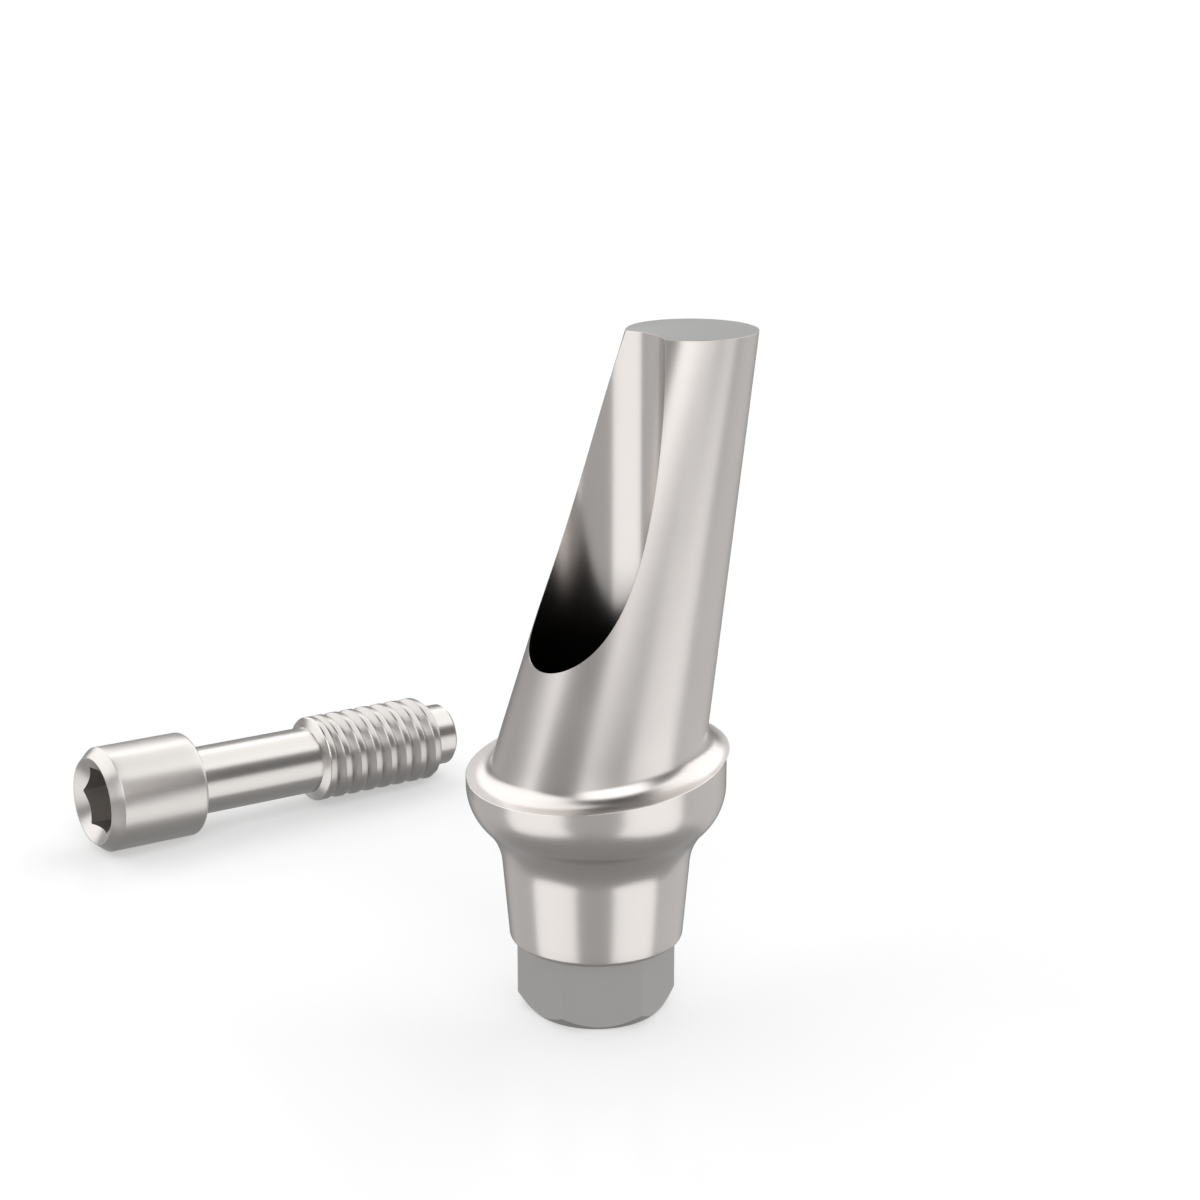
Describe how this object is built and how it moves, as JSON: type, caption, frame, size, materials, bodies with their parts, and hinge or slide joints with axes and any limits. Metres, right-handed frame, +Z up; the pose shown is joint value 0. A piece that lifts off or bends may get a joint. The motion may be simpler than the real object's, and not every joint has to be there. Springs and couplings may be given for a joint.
{
  "type": "dental abutment",
  "caption": "Angled dental abutment with hexagonal implant connection, collared shoulder, leaning post with open screw channel, and its retaining screw beside it.",
  "frame": {"origin": "centre of the abutment's base face, on the axis of the implant", "axes": "+Z up the implant's axis, +X towards the side that the post leans to, +Y completes the frame; the hexagon has flats facing +X and -X, and the screw channel opens towards -X"},
  "size_m": [0.0088, 0.0156, 0.0123],
  "materials": {
    "milled_titanium": "satin polished titanium alloy, warm grey",
    "turned_titanium": "turned and polished titanium alloy, warm grey"
  },
  "bodies": {
    "root": {"abutment_body": "milled_titanium", "abutment_screw": "turned_titanium"}
  },
  "joints": []
}
